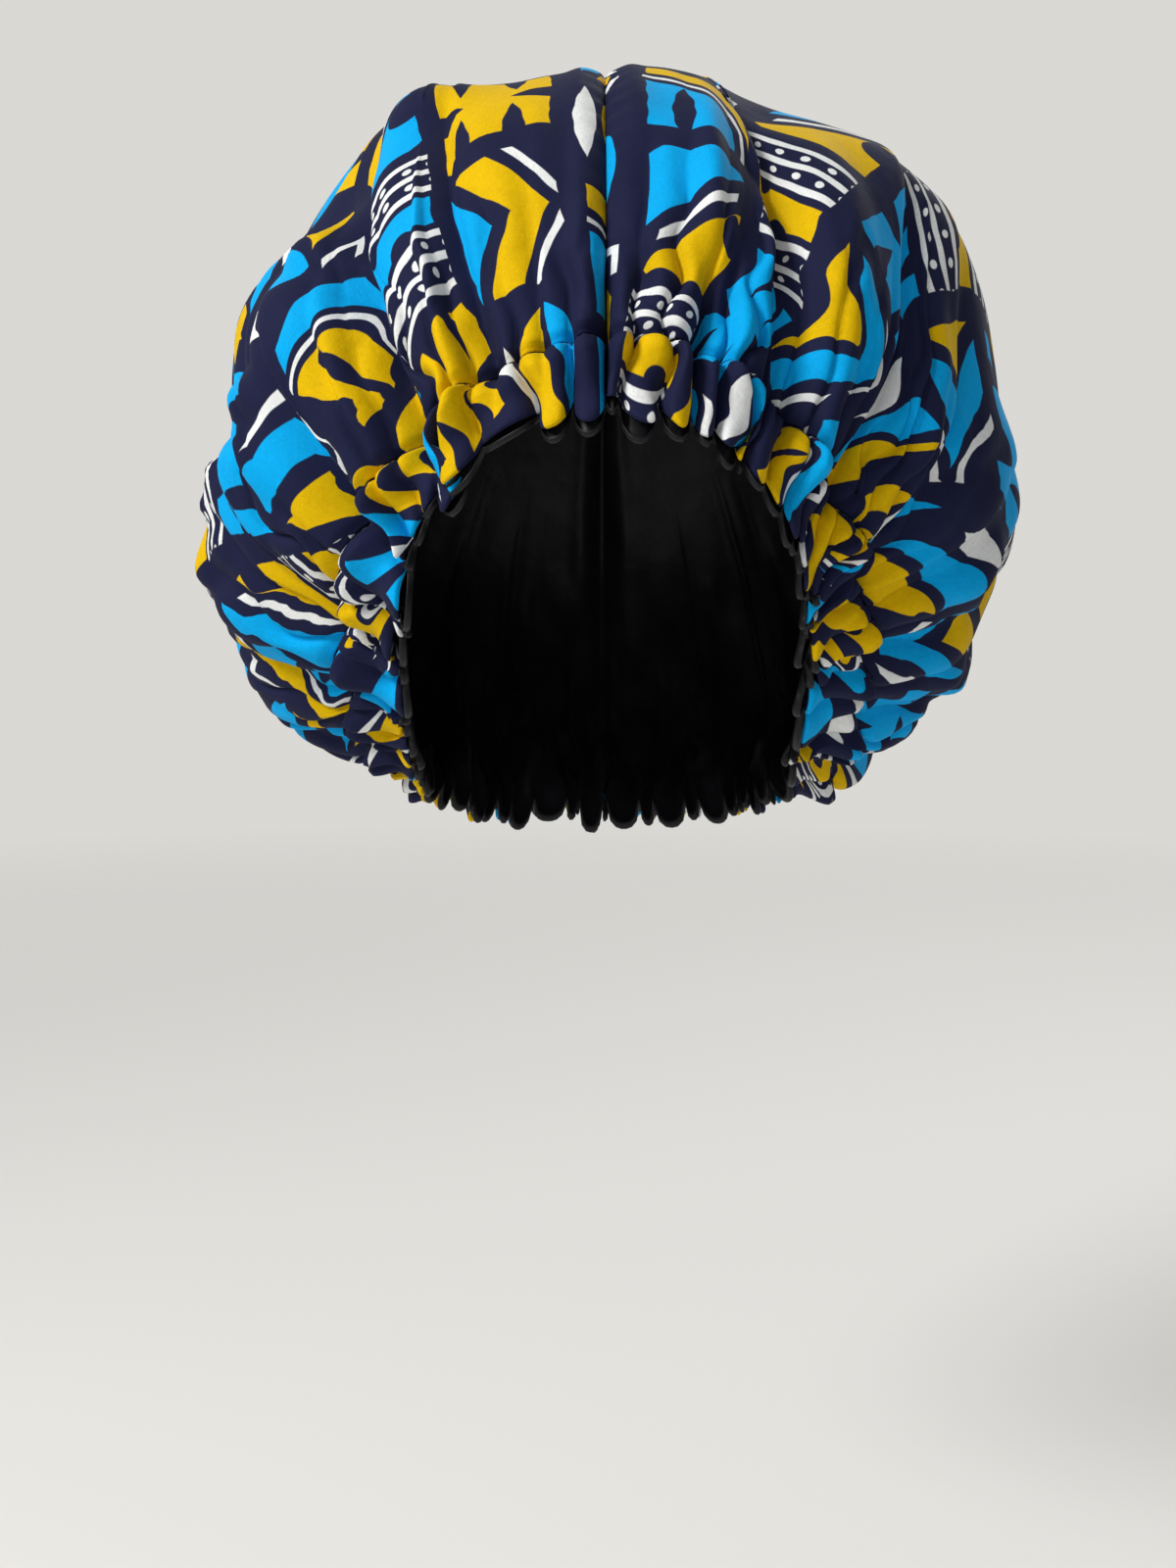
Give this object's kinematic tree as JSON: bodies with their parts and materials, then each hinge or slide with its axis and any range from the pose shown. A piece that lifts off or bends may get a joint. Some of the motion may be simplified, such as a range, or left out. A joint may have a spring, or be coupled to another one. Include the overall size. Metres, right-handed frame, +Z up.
{
  "type": "hair bonnet",
  "caption": "Puffy elasticated hair bonnet of printed cotton with a centre seam, a gathered casing and a black satin lining.",
  "frame": {"origin": "middle of the face opening, where the elastic grips the head", "axes": "+X towards the wearer's left, +Y to the back of the head, +Z up, with the face opening looking along -Y and down"},
  "size_m": [0.3035, 0.2658, 0.2833],
  "materials": {
    "printed_cotton": "plain-woven cotton, matt, printed",
    "black_satin": "black satin, soft sheen"
  },
  "bodies": {
    "root": {"left_panel": "printed_cotton", "right_panel": "printed_cotton", "elastic_casing": "printed_cotton", "satin_lining": "black_satin"}
  },
  "joints": []
}
